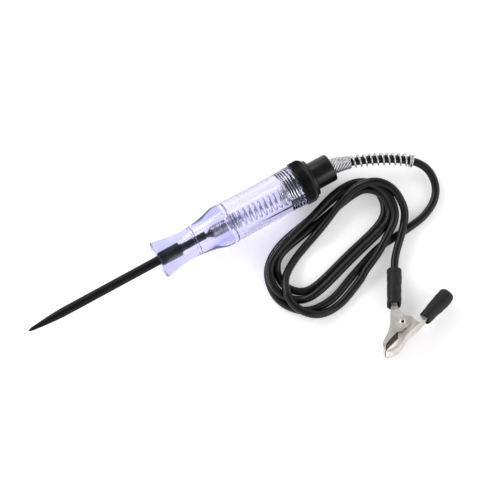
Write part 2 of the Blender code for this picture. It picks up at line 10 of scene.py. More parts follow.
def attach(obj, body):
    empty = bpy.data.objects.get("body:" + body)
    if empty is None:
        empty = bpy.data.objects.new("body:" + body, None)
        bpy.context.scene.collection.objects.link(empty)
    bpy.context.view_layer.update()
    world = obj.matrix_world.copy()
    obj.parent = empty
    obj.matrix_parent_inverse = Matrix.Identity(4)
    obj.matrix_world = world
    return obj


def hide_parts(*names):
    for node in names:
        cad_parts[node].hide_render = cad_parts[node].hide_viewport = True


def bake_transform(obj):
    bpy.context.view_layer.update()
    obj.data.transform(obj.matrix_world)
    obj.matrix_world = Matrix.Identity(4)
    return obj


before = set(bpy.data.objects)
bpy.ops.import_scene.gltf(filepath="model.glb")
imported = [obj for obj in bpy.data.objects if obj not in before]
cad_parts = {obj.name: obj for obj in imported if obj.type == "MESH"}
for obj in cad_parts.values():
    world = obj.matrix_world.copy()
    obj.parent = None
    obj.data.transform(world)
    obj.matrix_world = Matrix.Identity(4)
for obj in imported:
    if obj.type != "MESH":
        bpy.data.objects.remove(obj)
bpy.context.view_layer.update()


# Camera and studio -----------------------------------------------------------------------------
# The tool lies on a white bench that is lit a little from below, between pale walls and under a
# darker ceiling, with a long soft box on either side. The camera looks down through a long lens.

MM = 0.001
CAMERA_AZIMUTH = math.radians(-29.4)
CAMERA_ELEVATION = math.radians(75)
CAMERA_DISTANCE = 1.5
CAMERA_TARGET = (28.4, -13.7, 0.0)
VIEW_ANGLE = math.radians(8.72)
SENSOR_WIDTH = 36
WALL_LIGHT = 1.05
CEILING_LIGHT = 0.22
SOFT_BOXES = [("soft_box_back", (-0.3, 0.65, 0.6), 4.4), ("soft_box_front", (0.5, -0.6, 0.5), 1.8)]
SOFT_BOX_SIDES = (0.9, 0.35)
BENCH_REACH = 4
BENCH_COLOUR = "#f6f5f6"
BENCH_GLOW = 0.34
BENCH_GRAINS = 900.0  # across the whole board, about 9 mm each: its real tooth is too fine to show


def linear(code):
    """An sRGB hex colour as linear red, green, blue and 1."""
    values = [int(code[k:k + 2], 16) / 255 for k in (1, 3, 5)]
    return tuple(v / 12.92 if v <= 0.04045 else ((v + 0.055) / 1.055) ** 2.4 for v in values) + (1.0,)


def add(tree, kind, inputs=None, **settings):
    """Adds a node with its settings; an input is a value or another node's output socket."""
    made = tree.nodes.new("ShaderNode" + kind)
    for name, value in settings.items():
        setattr(made, name, value)
    for name, value in (inputs or {}).items():
        if isinstance(value, bpy.types.NodeSocket):
            tree.links.new(value, made.inputs[name])
        else:
            made.inputs[name].default_value = value
    return made


def empty_material(name):
    material = bpy.data.materials.new(name)
    material.use_nodes = True
    material.node_tree.nodes.clear()
    return material, material.node_tree


def place(name, data):
    obj = bpy.data.objects.new(name, data)
    bpy.context.scene.collection.objects.link(obj)
    return obj


def aim(obj, location, target):
    obj.location = location
    obj.rotation_mode = "QUATERNION"
    obj.rotation_quaternion = (Vector(target) - Vector(location)).to_track_quat("-Z", "Y")


towards_camera = Vector((
    math.sin(CAMERA_AZIMUTH) * math.cos(CAMERA_ELEVATION),
    -math.cos(CAMERA_AZIMUTH) * math.cos(CAMERA_ELEVATION),
    math.sin(CAMERA_ELEVATION),
))
target = Vector(CAMERA_TARGET) * MM
camera = place("camera", bpy.data.cameras.new("camera"))
aim(camera, target + towards_camera * CAMERA_DISTANCE, target)
camera.data.sensor_width = SENSOR_WIDTH
camera.data.lens = SENSOR_WIDTH / 2 / math.tan(VIEW_ANGLE / 2)
camera.data.clip_end = 20
bpy.context.scene.camera = camera
bpy.context.scene.view_settings.view_transform = "Standard"

world = bpy.data.worlds.new("studio")
bpy.context.scene.world = world
world.use_nodes = True
sky = world.node_tree
sky.nodes.clear()
direction = add(sky, "TexCoord")
split = add(sky, "SeparateXYZ", {0: direction.outputs["Generated"]})
ceiling = add(sky, "MapRange", {"Value": split.outputs["Z"], "From Min": 0.55, "From Max": 0.96,
                                "To Min": WALL_LIGHT, "To Max": CEILING_LIGHT},
              interpolation_type="SMOOTHSTEP")
light = add(sky, "Background", {"Color": linear("#ffffff"), "Strength": ceiling.outputs[0]})
add(sky, "OutputWorld", {"Surface": light.outputs[0]})

for name, spot, power in SOFT_BOXES:
    box = place(name, bpy.data.lights.new(name, "AREA"))
    box.data.shape = "RECTANGLE"
    box.data.size, box.data.size_y = SOFT_BOX_SIDES
    box.data.energy = power
    aim(box, spot, (0.03, -0.02, 0))

bench_mesh = bpy.data.meshes.new("bench")
bench_corners = [(x * BENCH_REACH, y * BENCH_REACH, 0) for x, y in ((-1, -1), (1, -1), (1, 1), (-1, 1))]
bench_mesh.from_pydata(bench_corners, [], [(0, 1, 2, 3)])
# White board with a matt painted face: it shows no glare, only the tool's soft shadow.
bench = place("bench", bench_mesh)
white_board, tree = empty_material("bench_matt_white_board")
grain = add(tree, "TexNoise", {"Scale": BENCH_GRAINS, "Detail": 2.0})
tooth = add(tree, "Bump", {"Strength": 0.05, "Distance": 0.0001, "Height": grain.outputs["Fac"]})
shader = add(tree, "BsdfPrincipled", {"Base Color": linear(BENCH_COLOUR), "Roughness": 0.9,
                                      "Specular IOR Level": 0.1, "Normal": tooth.outputs[0],
                                      "Emission Color": linear(BENCH_COLOUR),
                                      "Emission Strength": BENCH_GLOW})
add(tree, "OutputMaterial", {"Surface": shader.outputs[0]})
bench_mesh.materials.append(white_board)


# Lead ------------------------------------------------------------------------------------------
# One black PVC wire, 3.7 mm across, from the ferrule in the cap, out through the spring guards,
# four turns round a flat coil, then up over itself and into the boot of the clip.

LEAD_DIAMETER = 3.7
# Spots that the lead passes, in millimetres: from the cap to the coil, and from the coil to the clip.
LEAD_IN_ROUTE = [
    (59.75, 0.0, 10.4), (66.0, 0.0, 10.4), (72.5, 0.0, 10.4), (78.6, -0.1, 10.4), (83.3, -1.1, 10.5),
    (88.1, -2.7, 10.5), (93.7, -4.8, 10.3), (99.0, -7.2, 9.9), (104.3, -9.8, 9.2), (109.0, -12.5, 8.4),
    (112.8, -15.1, 7.5), (115.7, -18.0, 6.5), (117.5, -21.4, 5.3), (118.0, -25.3, 4.1),
    (117.2, -29.6, 3.0), (115.1, -33.2, 2.3), (111.8, -36.2, 1.95), (107.0, -38.6, 1.95),
    (101.8, -40.0, 1.95),
]
LEAD_OUT_ROUTE = [
    (88.7, -45.1, 4.9), (86.8, -46.9, 4.4), (84.9, -48.9, 3.85), (83.0, -51.2, 3.6), (80.8, -54.68, 3.72),
    (79.13, -57.49, 4.11),
]
# The coil's plan: (right side's start, its end, bottom, left side's start, its end, top) of each
# turn, in millimetres along and across the coil's long axis.
COIL_MIDDLE = (64.5, -31.4)
COIL_LONG_AXIS = math.radians(16.6)
COIL_CROSS_AXIS = math.radians(-75.4)
COIL_TURNS = [
    (16.2, 16.2, -38.0, -18.3, -15.7, 30.5),
    (7.4, 6.7, -31.5, -15.3, -11.1, 30.8),
    (9.7, 9.3, -35.6, -17.1, -17.1, 32.8),
    (14.1, 20.4, -34.7, -8.8, -12.5, 36.1),
]
# Spots in the same measures: where the lead joins the coil, the right side of the last turn, and
# where it crosses over the coil and leaves it.
COIL_ENTRY = [(20.8, 16.6), (11.6, 14.8), (-4.6, 15.3)]
COIL_LAST_SIDE = [(9.3, 16.4), (0.0, 17.8), (-5.1, 19.3)]
COIL_EXIT = [(15.0, -12.6), (25.0, -12.3), (32.9, -8.0), (36.1, 0.4), (33.2, 10.4), (27.2, 15.9)]
LEAD_STEP = 1.1
STEPS_BETWEEN_SPOTS = 16
TOUCH_GAP = 0.06  # between two strands that lie on each other
STEEPEST_CLIMB = 0.34  # in one step along the lead
NEAREST_STEPS = 24  # the lead can't lie on itself within this many steps
LAYING_ROUNDS = 7
HUMP_EASINGS = 3
PLAN_EASINGS = 4
# A strand above or below LIE_HEIGHT is moved by LIE_SHIFT, in x and y, for each millimetre.
LIE_HEIGHT = 3.0
LIE_SHIFT = (-0.1316, -0.2335)
LIE_FADE_STEPS = 20
LEAD_WAVES = 260.0  # to the metre, about 4 mm each
LEAD_DUST = 2400.0  # to the metre, about 0.4 mm each: coarser than real dust, which is too fine to show


def smooth_line(points, steps):
    """Points on a Catmull-Rom curve through the given ones, with this many steps in each span."""
    points = [Vector(p) for p in points]
    ends = [2 * points[0] - points[1]] + points + [2 * points[-1] - points[-2]]
    line = []
    for a, b, c, d in zip(ends, ends[1:], ends[2:], ends[3:]):
        for k in range(steps):
            t = k / steps
            line.append(0.5 * (2 * b + (c - a) * t + (2 * a - 5 * b + 4 * c - d) * t * t
                               + (3 * b - a - 3 * c + d) * t ** 3))
    line.append(points[-1])
    return line


def even_points(line, spacing):
    """Points at even distances along a line, its two ends among them."""
    lengths = [0.0]
    for a, b in zip(line, line[1:]):
        lengths.append(lengths[-1] + (b - a).length)
    count = max(2, round(lengths[-1] / spacing) + 1)
    found = []
    k = 1
    for n in range(count):
        distance = lengths[-1] * n / (count - 1)
        while k < len(lengths) - 1 and lengths[k] < distance:
            k += 1
        share = (distance - lengths[k - 1]) / max(lengths[k] - lengths[k - 1], 1e-9)
        found.append(line[k - 1].lerp(line[k], min(max(share, 0.0), 1.0)))
    return found


def length_of(line):
    return sum((b - a).length for a, b in zip(line, line[1:]))


def eased(line):
    """Each value or point drawn towards its two neighbours, with the ends kept."""
    return [line[0]] + [(a + 2 * b + c) / 4 for a, b, c in zip(line, line[1:], line[2:])] + [line[-1]]


def coil_spot(along, across):
    x = COIL_MIDDLE[0] + along * math.cos(COIL_LONG_AXIS) + across * math.cos(COIL_CROSS_AXIS)
    y = COIL_MIDDLE[1] + along * math.sin(COIL_LONG_AXIS) + across * math.sin(COIL_CROSS_AXIS)
    return (x, y, LEAD_DIAMETER / 2)


def half_turn(start, end, extent):
    """Five points round one end of a turn, from one side to the other."""
    radius = abs(end - start) / 2
    side = 1 if extent > 0 else -1
    middle = extent - side * radius
    across = (start + end) / 2
    swing = 1 if start > end else -1
    return [coil_spot(middle + side * radius * math.sin(angle), across + swing * radius * math.cos(angle))
            for angle in (math.radians(45 * k) for k in range(5))]


def coil_plan():
    last = len(COIL_TURNS) - 1
    spots = [coil_spot(*spot) for spot in COIL_ENTRY]
    for k, (start, end, bottom, left_start, left_end, top) in enumerate(COIL_TURNS):
        if k == last:
            spots += [coil_spot(*spot) for spot in COIL_LAST_SIDE]
        elif k > 0:
            spots.append(coil_spot(0.0, (start + end) / 2))
        spots += half_turn(end, left_start, bottom)
        spots.append(coil_spot(0.0, (left_start + left_end) / 2))
        if k < last:
            spots += half_turn(left_end, COIL_TURNS[k + 1][0], top)
    return spots + [coil_spot(*spot) for spot in COIL_EXIT]


def lay_lead(points):
    """Lifts each point to rest on the bench or on the turns laid before it, in long low humps."""
    own = [p.z for p in points]
    heights = own[:]
    plan = [p.xy.copy() for p in points]
    reach = LEAD_DIAMETER + TOUCH_GAP
    touching = []
    for i, here in enumerate(plan):
        distances = [(j, (here - plan[j]).length) for j in range(max(0, i - NEAREST_STEPS))]
        touching.append([(j, apart) for j, apart in distances if apart < reach])
    for _ in range(LAYING_ROUNDS):
        needed = [
            max([own[i]] + [heights[j] + math.sqrt(reach ** 2 - apart * apart) for j, apart in near])
            for i, near in enumerate(touching)
        ]
        for order in (range(1, len(needed)), range(len(needed) - 2, -1, -1)):
            back = -1 if order.step > 0 else 1
            for i in order:
                needed[i] = max(needed[i], needed[i + back] - STEEPEST_CLIMB)
        for _ in range(HUMP_EASINGS):
            needed = eased(needed)
        heights = needed
    return [Vector((p.x, p.y, z)) for p, z in zip(points, heights)]


lead_route = LEAD_IN_ROUTE + coil_plan() + LEAD_OUT_ROUTE
lead_plan = even_points(smooth_line(lead_route, STEPS_BETWEEN_SPOTS), LEAD_STEP)
for _ in range(PLAN_EASINGS):
    lead_plan = eased(lead_plan)
lead_line = lay_lead(lead_plan)
coil_start = len(even_points(smooth_line(LEAD_IN_ROUTE, STEPS_BETWEEN_SPOTS), LEAD_STEP))
coil_end = len(lead_line) - len(even_points(smooth_line(LEAD_OUT_ROUTE, STEPS_BETWEEN_SPOTS), LEAD_STEP))
for k in range(coil_start, coil_end):
    fade = min(1.0, (k - coil_start) / LIE_FADE_STEPS, (coil_end - k) / LIE_FADE_STEPS)
    rise = (lead_line[k].z - LIE_HEIGHT) * fade
    lead_line[k] += Vector((LIE_SHIFT[0] * rise, LIE_SHIFT[1] * rise, 0))


def drawn_wire(name, line, radius, sides_level):
    """A round wire along a line in millimetres, with closed ends."""
    curve = bpy.data.curves.new(name, "CURVE")
    curve.dimensions = "3D"
    curve.bevel_depth = radius * MM
    curve.bevel_resolution = sides_level
    curve.use_fill_caps = True
    spline = curve.splines.new("POLY")
    spline.points.add(len(line) - 1)
    for knot, point in zip(spline.points, line):
        knot.co = (*(Vector(point) * MM), 1.0)
    return place(name, curve)


lead = drawn_wire("lead_wire", lead_line, LEAD_DIAMETER / 2, 6)

# Black flexible PVC, extruded through a round die: soft satin sheen, a faint waviness and dust.
lead_pvc, tree = empty_material("lead_extruded_black_pvc")
spot = add(tree, "TexCoord")
waves = add(tree, "TexNoise", {"Vector": spot.outputs["Object"], "Scale": LEAD_WAVES, "Detail": 3.0})
dust = add(tree, "TexNoise", {"Vector": spot.outputs["Object"], "Scale": LEAD_DUST, "Detail": 2.0})
shade = add(tree, "ValToRGB", {"Fac": waves.outputs["Fac"]})
for element, place_at, colour in zip(shade.color_ramp.elements, (0.3, 0.75), ("#080709", "#0f0e11")):
    element.position = place_at
    element.color = linear(colour)
sheen = add(tree, "MapRange", {"Value": dust.outputs["Fac"], "From Min": 0.3, "From Max": 0.7,
                               "To Min": 0.26, "To Max": 0.38})
relief = add(tree, "Bump", {"Strength": 0.35, "Distance": 0.00012, "Height": waves.outputs["Fac"]})
shader = add(tree, "BsdfPrincipled", {"Base Color": shade.outputs[0], "Roughness": sheen.outputs[0],
                                      "IOR": 1.53, "Specular IOR Level": 0.3, "Normal": relief.outputs[0]})
add(tree, "OutputMaterial", {"Surface": shader.outputs[0]})
lead.data.materials.append(lead_pvc)
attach(lead, "cap")
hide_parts("lead_in", "lead_coil", "lead_out")


# Probe -----------------------------------------------------------------------------------------
# Hardened steel needle, blacked in hot oil, ground to a point and moulded into the handle's nose.
# Its tail reaches back through the nose to touch the lamp.

AXIS_HEIGHT = 10.4
PROBE_POINT_X = -78.65
NEEDLE_PROFILE = [
    (0.0, 0.0), (0.12, 0.2), (0.5, 0.42), (2.0, 0.88), (5.5, 1.25), (9.0, 1.6), (13.0, 1.9), (16.5, 2.07),
    (19.0, 2.15), (30.0, 2.15), (78.0, 2.15), (78.9, 1.8), (84.9, 1.8), (85.3, 1.7), (91.2, 1.7), (91.7, 1.2),
    (91.7, 0.0),
]


def on_axis(station, aside=(0.0, 0.0)):
    """The point on the handle's axis so far from the probe's tip, moved aside by (y, z)."""
    return Vector((PROBE_POINT_X + station, aside[0], AXIS_HEIGHT + aside[1]))


def rounded(profile, amount):
    """The profile with each corner turned into a small curve."""
    soft = [profile[0]]
    for a, p, b in zip(profile, profile[1:], profile[2:]):
        a, p, b = Vector(a), Vector(p), Vector(b)
        reach = min(amount, 0.45 * (a - p).length, 0.45 * (b - p).length)
        start, end = p + (a - p).normalized() * reach, p + (b - p).normalized() * reach
        soft += [tuple(start * (1 - t) ** 2 + p * 2 * t * (1 - t) + end * t * t) for t in (0, 0.33, 0.67, 1)]
    soft.append(profile[-1])
    return soft


def shell_mesh(name, rings, through):
    """Skins rings of points in millimetres; a ring of one point closes the skin, through joins the ends."""
    bm = bmesh.new()
    rows = [[bm.verts.new(Vector(p) * MM) for p in ring] for ring in rings]
    pairs = list(zip(rows, rows[1:])) + ([(rows[-1], rows[0])] if through else [])
    count = max(len(row) for row in rows)
    for a, b in pairs:
        for k in range(count):
            m = (k + 1) % count
            corners = [a[k % len(a)], a[m % len(a)], b[m % len(b)], b[k % len(b)]]
            corners = list(dict.fromkeys(corners))
            if len(corners) > 2:
                bm.faces.new(corners)
    bmesh.ops.recalc_face_normals(bm, faces=bm.faces)
    mesh = bpy.data.meshes.new(name)
    bm.to_mesh(mesh)
    bm.free()
    mesh.shade_smooth()
    mesh.set_sharp_from_angle(angle=math.radians(38))
    return place(name, mesh)


def turned(name, profile, sides=64, aside=(0.0, 0.0), radius_at=None):
    """Spins a profile of (station, radius) about the handle's axis; radius_at reshapes each point."""
    rings = []
    for station, radius in profile:
        middle = on_axis(station, aside)
        if radius == 0:
            rings.append([middle])
            continue
        ring = []
        for k in range(sides):
            turn = 2 * math.pi * k / sides
            r = radius_at(station, radius, turn) if radius_at else radius
            ring.append(middle + Vector((0, r * math.cos(turn), r * math.sin(turn))))
        rings.append(ring)
    return shell_mesh(name, rings, len(rings[0]) > 1 and len(rings[-1]) > 1)


def worn_material(name, colours, roughness, patch, grain, bump, metallic=0.0, ior=1.5, stretch=(1, 1, 1),
                  gloss=0.5):
    """A surface that drifts between two colours and two roughnesses; patch, grain and bump are in mm."""
    material, tree = empty_material(name)
    spot = add(tree, "TexCoord")
    pulled = add(tree, "Mapping", {"Vector": spot.outputs["Object"], "Scale": stretch})
    patches = add(tree, "TexNoise", {"Vector": pulled.outputs[0], "Scale": 1000 / patch, "Detail": 4.0})
    grains = add(tree, "TexNoise", {"Vector": pulled.outputs[0], "Scale": 1000 / grain, "Detail": 3.0,
                                    "Roughness": 0.6})
    shade = add(tree, "ValToRGB", {"Fac": patches.outputs["Fac"]})
    for element, place_at, colour in zip(shade.color_ramp.elements, (0.32, 0.72), colours):
        element.position = place_at
        element.color = linear(colour)
    both = add(tree, "Math", {0: patches.outputs["Fac"], 1: grains.outputs["Fac"]}, operation="ADD")
    sheen = add(tree, "MapRange", {"Value": both.outputs[0], "From Min": 0.7, "From Max": 1.3,
                                   "To Min": roughness[0], "To Max": roughness[1]})
    relief = add(tree, "Bump", {"Strength": 0.6, "Distance": bump * MM, "Height": grains.outputs["Fac"]})
    shader = add(tree, "BsdfPrincipled", {"Base Color": shade.outputs[0], "Roughness": sheen.outputs[0],
                                          "Metallic": metallic, "IOR": ior, "Specular IOR Level": gloss,
                                          "Normal": relief.outputs[0]})
    add(tree, "OutputMaterial", {"Surface": shader.outputs[0]})
    return material


def dress(obj, material, body, node):
    """Gives a made piece its material and the body it rides on, and hides the CAD node it stands for."""
    obj.data.materials.append(material)
    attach(obj, body)
    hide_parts(node)


needle = turned("needle", rounded(NEEDLE_PROFILE, 1.2), 48)
# Oil-blacked steel: near black with a low grey sheen. Its lengthwise polishing lines are drawn
# 0.35 mm apart, since the real ones are too fine to show.
blacked_steel = worn_material("needle_oil_blacked_steel", ("#0a0a0b", "#151517"), (0.26, 0.4),
                              4.0, 0.35, 0.012, metallic=0.05, stretch=(0.12, 1, 1), gloss=0.16)
dress(needle, blacked_steel, "barrel", "probe_needle")


# Clear handle ----------------------------------------------------------------------------------
# One injection moulding in lilac-tinted acrylic: solid flared nose round the needle, finger waist,
# scalloped shoulder and a thin lamp barrel with a fine thread inside its mouth for the cap.

HANDLE_OUTSIDE = [
    (66.9, 7.9), (67.0, 8.25), (67.4, 8.6), (68.3, 8.75), (70.6, 8.3), (73.3, 7.7), (76.8, 7.12),
    (80.5, 6.85), (83.4, 6.92), (86.0, 7.12), (86.02, 6.75), (86.33, 6.75), (86.35, 7.15),
    (88.0, 7.35), (90.6, 7.75), (93.5, 8.35), (96.0, 9.1), (98.0, 9.7), (100.0, 9.92), (103.6, 9.95),
    (103.62, 9.45), (103.93, 9.45),
    (103.95, 9.8), (112.0, 9.75), (120.0, 9.68), (128.0, 9.6), (133.2, 9.62), (134.6, 9.68), (135.6, 9.84),
    (136.4, 9.88), (138.9, 9.88), (139.3, 9.6),
]
HANDLE_THREAD = (132.4, 139.0)
THREAD_PITCH = 1.2
THREAD_DEPTH = 0.5
THREAD_RING_GAP = 0.12
SCALLOPS = 8
SCALLOP_START = 88
SCALLOP_LENGTH = 15.7
SCALLOP_DEPTH = 0.02
HANDLE_TINT = "#6565f1"
HANDLE_TINT_DENSITY = 36.0
WELD_WIDTH = 0.25
WELD_DEPTH = 0.3
FLOW_RIPPLES = 120.0  # to the metre, about 8 mm each across the handle
HAZE_SPECKS = 1500.0  # to the metre, about 0.7 mm each: coarser than real handling haze


def ridge(station, turn):
    """0 in a thread's root and 1 on its crest, at a station and a turn about the axis."""
    share = (station / THREAD_PITCH - turn / (2 * math.pi)) % 1
    return 1 - abs(2 * share - 1)


def handle_radius(station, radius, turn):
    """Hollows the scallops into the shoulder and cuts the thread inside the mouth."""
    if radius > 6.75 and SCALLOP_START < station < SCALLOP_START + SCALLOP_LENGTH:
        swell = math.sin(math.pi * (station - SCALLOP_START) / SCALLOP_LENGTH) ** 1.3
        return radius * (1 - SCALLOP_DEPTH * swell * (0.5 + 0.5 * math.cos(SCALLOPS * turn + 0.6)))
    if 6.75 < radius < 7.45 and HANDLE_THREAD[0] < station < HANDLE_THREAD[1]:
        return radius + THREAD_DEPTH * ridge(station, turn)
    return radius


handle_bore = [(139.3, 7.5), (139.1, 7.3)]
handle_bore += [(138.95 - THREAD_RING_GAP * k, 7.0) for k in range(55)]
handle_bore += [(132.0, 7.0), (103.1, 7.0), (102.3, 6.6), (101.9, 4.6), (101.6, 4.0), (86.0, 4.0)]
handle_bore += [(85.4, 3.6), (85.2, 2.7), (79.0, 2.6), (78.5, 2.45)]
# The last stretch is a little smaller than the needle, so plastic and steel touch and no air shows.
handle_bore += [(77.9, 2.0), (67.1, 2.0), (66.9, 2.3)]
handle = turned("clear_handle", HANDLE_OUTSIDE + handle_bore, 144, radius_at=handle_radius)

# Lilac acrylic: clear and glossy, its tint deepening where the moulding is thick, with faint flow
# ripples; the light that falls through it lands on the bench as a pale lilac tone.
acrylic, tree = empty_material("handle_lilac_clear_acrylic")
spot = add(tree, "TexCoord")
pulled = add(tree, "Mapping", {"Vector": spot.outputs["Object"], "Scale": (0.3, 1, 1)})
flow = add(tree, "TexNoise", {"Vector": pulled.outputs[0], "Scale": FLOW_RIPPLES, "Detail": 2.0})
hazing = add(tree, "TexNoise", {"Vector": spot.outputs["Object"], "Scale": HAZE_SPECKS, "Detail": 3.0})
haze = add(tree, "MapRange", {"Value": hazing.outputs["Fac"], "From Min": 0.45, "From Max": 0.75,
                              "To Min": 0.015, "To Max": 0.07})
ripple = add(tree, "Bump", {"Strength": 0.06, "Distance": 0.00005, "Height": flow.outputs["Fac"]})
glass = add(tree, "BsdfPrincipled", {"Base Color": linear("#fbfaff"), "Roughness": haze.outputs[0],
                                     "IOR": 1.49, "Transmission Weight": 1.0, "Normal": ripple.outputs[0]})
through = add(tree, "BsdfTransparent", {"Color": linear("#faf9ff")})
ray = add(tree, "LightPath")
either = add(tree, "MixShader", {0: ray.outputs["Is Shadow Ray"], 1: glass.outputs[0], 2: through.outputs[0]})
tint = add(tree, "VolumeAbsorption", {"Color": linear(HANDLE_TINT), "Density": HANDLE_TINT_DENSITY})
add(tree, "OutputMaterial", {"Surface": either.outputs[0], "Volume": tint.outputs[0]})
dress(handle, acrylic, "barrel", "handle_barrel")

# Two weld lines, where the mould's sections meet: thin rings of the same acrylic, cloudier and of a
# deeper lilac, set in narrow grooves.
weld = worn_material("handle_weld_line_lilac", ("#6f6bb0", "#8a86c6"), (0.25, 0.4), 1.5, 0.3, 0.01)
for name, station, outer in (("weld_waist", 86.05, 7.08), ("weld_shoulder", 103.65, 9.74)):
    far = station + WELD_WIDTH
    band = [(station, outer - WELD_DEPTH), (station, outer), (far, outer), (far, outer - WELD_DEPTH)]
    line = turned(name, band, 144)
    line.data.materials.append(weld)
    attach(line, "barrel")


# Lamp ------------------------------------------------------------------------------------------
# A small screw-base lamp that sits a little low in the bore: solder pip, black glass insulator,
# plated shell with a rolled thread, clear bulb and a filament on two posts.

LAMP_ASIDE = (-0.5, -0.5)
LAMP_PIP = [(91.8, 0.0), (91.8, 0.7), (92.0, 1.0), (92.9, 1.05), (92.9, 0.0)]
LAMP_INSULATOR = [(93.0, 0.0), (93.0, 1.05), (95.0, 2.15), (96.6, 2.15), (96.6, 0.0)]
LAMP_THREAD = (95.9, 101.6)
LAMP_THREAD_PITCH = 0.85
LAMP_THREAD_DEPTH = 0.2
BULB_BASE = 99.0
BULB_END = 110.2
BULB_RADIUS = 2.0
BULB_WALL = 0.3
BULB_SEEDS = 700.0  # to the metre, about 1.4 mm each: real seeds in the glass are too fine to show


def shell_radius(station, radius, turn):
    """Rolls a round thread into the lamp's shell."""
    if LAMP_THREAD[0] < station < LAMP_THREAD[1] and radius > 2.5:
        share = (station / LAMP_THREAD_PITCH - turn / (2 * math.pi)) % 1
        return radius - LAMP_THREAD_DEPTH * (0.5 + 0.5 * math.cos(2 * math.pi * share))
    return radius


pip = turned("lamp_solder_pip", rounded(LAMP_PIP, 0.2), 24, LAMP_ASIDE)
# Tin-lead solder, dulled and scraped by the needle's tail: dark grey with soft-edged dents.
solder = worn_material("lamp_pip_dull_solder", ("#2a2927", "#4a4845"), (0.35, 0.55), 0.8, 0.2, 0.02,
                       metallic=1.0)
dress(pip, solder, "lamp", "lamp_contact")

insulator = turned("lamp_black_insulator", rounded(LAMP_INSULATOR, 0.3), 40, LAMP_ASIDE)
# Pressed black glass: deep black with a sharp, slightly uneven gloss.
black_glass = worn_material("lamp_insulator_black_glass", ("#060607", "#0c0c0e"), (0.12, 0.22),
                            2.0, 0.3, 0.006)
dress(insulator, black_glass, "lamp", "lamp_insulator")

shell_profile = [(95.0, 2.3), (95.2, 2.7), (95.6, 2.9)] + [(95.9 + 0.1 * k, 2.9) for k in range(58)]
shell_profile += [(104.1, 2.9), (104.4, 3.1), (104.45, 3.65), (104.6, 3.8), (104.9, 3.75), (105.0, 3.5)]
shell_profile += [(105.0, 2.3), (96.8, 2.3)]
shell = turned("lamp_plated_shell", shell_profile, 48, LAMP_ASIDE, shell_radius)
# Nickel-plated brass, rubbed dull by the thread it was turned in: warm grey with soft streaks.
plated = worn_material("lamp_shell_nickel_plate", ("#858285", "#b5b2b4"), (0.22, 0.4), 1.6, 0.25, 0.015,
                       metallic=1.0)
dress(shell, plated, "lamp", "lamp_shell")

dome = [(math.cos(math.radians(9 * k)), math.sin(math.radians(9 * k))) for k in range(11)]
bulb_centre = BULB_END - BULB_RADIUS
bulb_inside = BULB_RADIUS - BULB_WALL
bulb_skin = [(bulb_centre + BULB_RADIUS * c, BULB_RADIUS * s) for c, s in dome]
bulb_skin += [(BULB_BASE, BULB_RADIUS), (BULB_BASE, bulb_inside)]
bulb_skin += [(bulb_centre + bulb_inside * c, bulb_inside * s) for c, s in dome[::-1]]
bulb_skin[0], bulb_skin[-1] = (BULB_END, 0.0), (BULB_END - BULB_WALL, 0.0)
bulb = turned("lamp_bulb", bulb_skin, 40, LAMP_ASIDE)
# Blown soda glass: clear, with a faint blue edge and slow ripples that bend its highlights.
bulb_glass, tree = empty_material("lamp_bulb_clear_glass")
spot = add(tree, "TexCoord")
seeds = add(tree, "TexNoise", {"Vector": spot.outputs["Object"], "Scale": BULB_SEEDS, "Detail": 2.0})
ripple = add(tree, "Bump", {"Strength": 0.3, "Distance": 0.00004, "Height": seeds.outputs["Fac"]})
glass = add(tree, "BsdfPrincipled", {"Base Color": linear("#eaf3fb"), "Roughness": 0.03, "IOR": 1.52,
                                     "Transmission Weight": 1.0, "Normal": ripple.outputs[0]})
through = add(tree, "BsdfTransparent", {"Color": linear("#f2f6fa")})
ray = add(tree, "LightPath")
either = add(tree, "MixShader", {0: ray.outputs["Is Shadow Ray"], 1: glass.outputs[0], 2: through.outputs[0]})
add(tree, "OutputMaterial", {"Surface": either.outputs[0]})
dress(bulb, bulb_glass, "lamp", "lamp_glass")

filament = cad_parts["lamp_filament"]
# Drawn tungsten that has glowed: mid grey, dull, with a slightly crusted skin.
tungsten = worn_material("lamp_filament_tungsten", ("#55544f", "#7d7b74"), (0.3, 0.5), 0.6, 0.15, 0.01,
                         metallic=1.0)
filament.data.materials.clear()
filament.data.materials.append(tungsten)


# Lamp spring -----------------------------------------------------------------------------------
# Music-wire spring, nine open turns with a turn and a quarter closed at each end. It carries the
# current from the cap to the lamp's flange and leans a little.

SPRING_WIRE = 0.4
SPRING_RADIUS = 3.7
SPRING_CLOSED_TURNS = 1.25
SPRING_OPEN_TURNS = 9
SPRING_CLOSED_GAP = 0.12
SPRING_FOOT = 105.7
SPRING_TOP = 131.5
SPRING_TOP_ASIDE = (-1.9, -1.3)
POINTS_IN_A_TURN = 22


def frames_along(line):
    """(point, sideways, upward) at each point of a line, turned as little as possible."""
    frames = []
    upward = Vector((0, 0, 1))
    for k, point in enumerate(line):
        ahead = (line[min(k + 1, len(line) - 1)] - line[max(k - 1, 0)]).normalized()
        sideways = upward.cross(ahead).normalized()
        upward = ahead.cross(sideways).normalized()
        frames.append((point, sideways, upward))
    return frames


def wound(line, radius, turns, pitch_of, hand=1):
    """A helix round a line, of either hand; pitch_of gives the pitch after so many turns."""
    fine = even_points(line, 0.02)
    frames = frames_along(fine)
    spacing = length_of(fine) / (len(fine) - 1)
    points, distance = [], 0.0
    for step in range(round(turns * POINTS_IN_A_TURN) + 1):
        centre, sideways, upward = frames[min(round(distance / spacing), len(fine) - 1)]
        angle = hand * 2 * math.pi * step / POINTS_IN_A_TURN
        points.append(centre + radius * (math.cos(angle) * sideways + math.sin(angle) * upward))
        distance += pitch_of(step / POINTS_IN_A_TURN) / POINTS_IN_A_TURN
    return points


